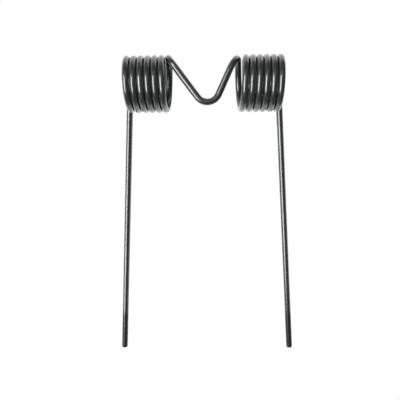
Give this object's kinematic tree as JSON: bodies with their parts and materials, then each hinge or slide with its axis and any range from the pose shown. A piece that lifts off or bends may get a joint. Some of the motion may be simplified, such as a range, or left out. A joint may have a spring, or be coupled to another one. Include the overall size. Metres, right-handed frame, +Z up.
{
  "type": "double torsion spring",
  "caption": "Double torsion spring of round wire: side-by-side close-wound coils of opposite hand, joined by a V-shaped bridge, with a long straight leg from each.",
  "frame": {"origin": "on the common axis of the two coils, midway between the two legs where they leave the coils", "axes": "+X along the coil axis, -Y along the legs towards their tips, +Z up from the level that the coils and legs rest on"},
  "size_m": [0.0998, 0.1645, 0.028],
  "materials": {
    "spring_wire": "oil-tempered spring steel wire with a dark, glossy oxide skin and fine drawing lines"
  },
  "bodies": {
    "root": {"torsion_spring": "spring_wire"}
  },
  "joints": []
}
